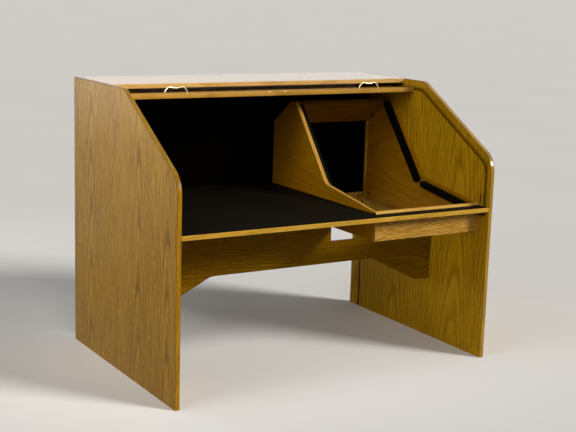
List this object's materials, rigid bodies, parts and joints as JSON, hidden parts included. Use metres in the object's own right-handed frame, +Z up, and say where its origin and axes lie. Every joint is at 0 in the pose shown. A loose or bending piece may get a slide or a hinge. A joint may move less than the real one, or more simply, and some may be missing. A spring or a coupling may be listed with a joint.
{
  "type": "tambour desk",
  "caption": "Oak desk with shaped side panels, a black worktop, a slatted tambour curtain running in grooves, and a sunken monitor well on the right.",
  "frame": {"origin": "middle of the desk's footprint, on the floor", "axes": "+X to the sitter's right, +Y to the back of the desk, +Z up; the front is at -Y"},
  "size_m": [1.52, 1.036, 1.185],
  "materials": {
    "oak_panel": "satin lacquered oak veneer",
    "oak_edge": "satin lacquered solid oak",
    "oak_slat": "satin lacquered oak",
    "core_board": "raw particle board",
    "black_laminate": "fine matt laminate",
    "black_board": "black faced hardboard",
    "black_batten": "black painted",
    "softwood": "planed, stained brown",
    "brass": "polished",
    "cloth": "woven canvas"
  },
  "bodies": {
    "case": {"left_side_panel": "oak_panel", "right_side_panel": "oak_panel", "left_edge_lipping": "oak_edge", "right_edge_lipping": "oak_edge", "top_panel": "oak_panel", "top_front_lipping": "oak_edge", "worktop_core": "core_board", "worktop_laminate": "black_laminate", "worktop_front_lipping": "oak_edge", "inner_back": "black_board", "stretcher": "oak_panel", "well_left_partition": "oak_panel", "well_right_partition": "oak_panel", "well_front_panel": "oak_panel", "well_floor": "oak_panel", "well_hood": "oak_panel", "well_rear_rail": "oak_panel", "well_left_rear_post": "oak_edge", "well_right_rear_post": "oak_edge", "well_left_upper_batten": "black_batten", "well_left_lower_batten": "black_batten", "well_right_upper_batten": "black_batten", "well_right_lower_batten": "black_batten", "worktop_rear_cleat": "softwood", "worktop_left_cleat": "softwood", "worktop_right_cleat": "softwood", "stretcher_left_cleat": "softwood", "stretcher_right_cleat": "softwood", "top_left_cleat": "softwood", "top_right_cleat": "softwood"},
    "lead_rail": {"tambour_lead_rail": "oak_edge", "left_pull": "brass", "right_pull": "brass"},
    "tambour_front_strip": {"tambour_front_strip": "oak_slat", "tambour_front_cloth": "cloth"},
    "tambour_front_slat_1": {"tambour_front_slat_1": "oak_slat"},
    "tambour_front_slat_2": {"tambour_front_slat_2": "oak_slat"},
    "tambour_front_slat_3": {"tambour_front_slat_3": "oak_slat"},
    "tambour_slope_strip": {"tambour_slope_strip": "oak_slat", "tambour_slope_cloth": "cloth"},
    "tambour_middle_slat_1": {"tambour_middle_slat_1": "oak_slat"},
    "tambour_middle_slat_2": {"tambour_middle_slat_2": "oak_slat"},
    "tambour_middle_slat_3": {"tambour_middle_slat_3": "oak_slat"},
    "tambour_long_strip": {"tambour_long_strip": "oak_slat", "tambour_long_cloth": "cloth"},
    "tambour_upper_slat_1": {"tambour_upper_slat_1": "oak_slat"},
    "tambour_upper_slat_2": {"tambour_upper_slat_2": "oak_slat"},
    "tambour_tail_strip": {"tambour_tail_strip": "oak_slat", "tambour_tail_cloth": "cloth"}
  },
  "joints": [
    {"name": "tambour_travel", "type": "hinge", "parent": "case", "child": "lead_rail", "pos_m": [0, 0.017, 0.641], "axis": [1, 0, 0], "range_deg": [0, 90]},
    {"name": "tambour_front_strip_travel", "type": "hinge", "parent": "case", "child": "tambour_front_strip", "pos_m": [0, 0.017, 0.641], "axis": [1, 0, 0], "range_deg": [0, 90.01], "deforming": ["tambour_front_strip", "tambour_front_cloth"]},
    {"name": "tambour_front_slat_1_travel", "type": "hinge", "parent": "case", "child": "tambour_front_slat_1", "pos_m": [0, 0.02627, 0.62069], "axis": [1, 0, 0], "range_deg": [0, 86.69], "deforming": ["tambour_front_slat_1"]},
    {"name": "tambour_front_slat_2_travel", "type": "hinge", "parent": "case", "child": "tambour_front_slat_2", "pos_m": [0, 0.10959, 0.42541], "axis": [1, 0, 0], "range_deg": [0, 63.3], "deforming": ["tambour_front_slat_2"]},
    {"name": "tambour_front_slat_3_travel", "type": "hinge", "parent": "case", "child": "tambour_front_slat_3", "pos_m": [0, 0.26486, 0.02488], "axis": [1, 0, 0], "range_deg": [0, 39.9], "deforming": ["tambour_front_slat_3"]},
    {"name": "tambour_slope_strip_travel", "type": "hinge", "parent": "case", "child": "tambour_slope_strip", "pos_m": [0, 0.39206, -0.31915], "axis": [1, 0, 0], "range_deg": [0, 30.08], "deforming": ["tambour_slope_strip", "tambour_slope_cloth"]},
    {"name": "tambour_middle_slat_1_travel", "type": "hinge", "parent": "case", "child": "tambour_middle_slat_1", "pos_m": [0, 0.23749, 0.25381], "axis": [1, 0, 0], "range_deg": [0, 49.88], "deforming": ["tambour_middle_slat_1"]},
    {"name": "tambour_middle_slat_2_travel", "type": "hinge", "parent": "case", "child": "tambour_middle_slat_2", "pos_m": [0, 0.16103, 0.56683], "axis": [1, 0, 0], "range_deg": [0, 75.4], "deforming": ["tambour_middle_slat_2"]},
    {"name": "tambour_middle_slat_3_travel", "type": "hinge", "parent": "case", "child": "tambour_middle_slat_3", "pos_m": [0, 0.12619, 0.73702], "axis": [1, 0, 0], "range_deg": [0, 100.92], "deforming": ["tambour_middle_slat_3"]},
    {"name": "tambour_long_strip_travel", "type": "hinge", "parent": "case", "child": "tambour_long_strip", "pos_m": [0, 0.11155, 0.82616], "axis": [1, 0, 0], "range_deg": [0, 120.08], "deforming": ["tambour_long_strip", "tambour_long_cloth"]},
    {"name": "tambour_upper_slat_1_travel", "type": "hinge", "parent": "case", "child": "tambour_upper_slat_1", "pos_m": [0, 0.10316, 0.81511], "axis": [1, 0, 0], "range_deg": [0, 115.96], "deforming": ["tambour_upper_slat_1"]},
    {"name": "tambour_upper_slat_2_travel", "type": "hinge", "parent": "case", "child": "tambour_upper_slat_2", "pos_m": [0, 0.05989, 0.76322], "axis": [1, 0, 0], "range_deg": [0, 98.41], "deforming": ["tambour_upper_slat_2"]},
    {"name": "tambour_tail_strip_travel", "type": "hinge", "parent": "case", "child": "tambour_tail_strip", "pos_m": [0, 0.03352, 0.73452], "axis": [1, 0, 0], "range_deg": [0, 90.01], "deforming": ["tambour_tail_strip", "tambour_tail_cloth"]}
  ],
  "couplings": [
    {"joint": "tambour_front_strip_travel", "follows": "tambour_travel", "ratio": 1},
    {"joint": "tambour_front_slat_1_travel", "follows": "tambour_travel", "ratio": 0.96314},
    {"joint": "tambour_front_slat_2_travel", "follows": "tambour_travel", "ratio": 0.70319},
    {"joint": "tambour_front_slat_3_travel", "follows": "tambour_travel", "ratio": 0.44324},
    {"joint": "tambour_slope_strip_travel", "follows": "tambour_travel", "ratio": 0.33414},
    {"joint": "tambour_middle_slat_1_travel", "follows": "tambour_travel", "ratio": 0.55407},
    {"joint": "tambour_middle_slat_2_travel", "follows": "tambour_travel", "ratio": 0.83765},
    {"joint": "tambour_middle_slat_3_travel", "follows": "tambour_travel", "ratio": 1.1212},
    {"joint": "tambour_long_strip_travel", "follows": "tambour_travel", "ratio": 1.3341},
    {"joint": "tambour_upper_slat_1_travel", "follows": "tambour_travel", "ratio": 1.2883},
    {"joint": "tambour_upper_slat_2_travel", "follows": "tambour_travel", "ratio": 1.0934},
    {"joint": "tambour_tail_strip_travel", "follows": "tambour_travel", "ratio": 1}
  ]
}
